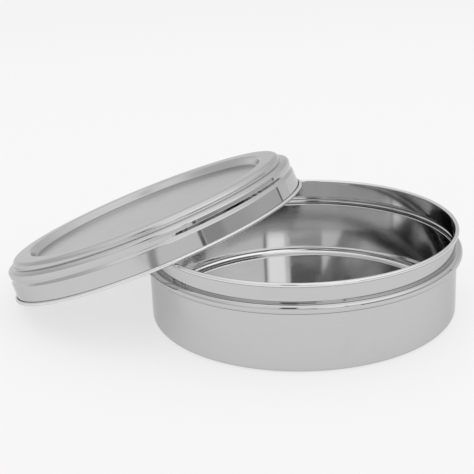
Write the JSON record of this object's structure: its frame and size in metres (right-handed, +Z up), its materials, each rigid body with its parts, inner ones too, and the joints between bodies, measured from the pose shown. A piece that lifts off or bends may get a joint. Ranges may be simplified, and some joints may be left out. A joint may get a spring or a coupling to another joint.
{
  "type": "spice box masala dabba",
  "caption": "Round polished-steel spice box with a beaded wall and a rolled rim, standing open, with its lift-off lid leaning on the rim.",
  "frame": {"origin": "centre of the ring that the box stands on, in the plane of the table", "axes": "+Z up along the box's axis, the lid leans on the rim at the -X side and a little to +Y, and the open side faces -Y"},
  "size_m": [0.3031, 0.2487, 0.0953],
  "materials": {
    "box_steel": "polished stainless steel with fine turning lines",
    "lid_steel": "polished stainless steel with fine turning lines"
  },
  "bodies": {
    "box": {"box_body": "box_steel"},
    "lid": {"lid": "lid_steel"}
  },
  "joints": [
    {"name": "lid_lift", "type": "slide", "parent": "box", "child": "lid", "axis": [0, 0, 1], "range_m": [0, 0.08]}
  ]
}
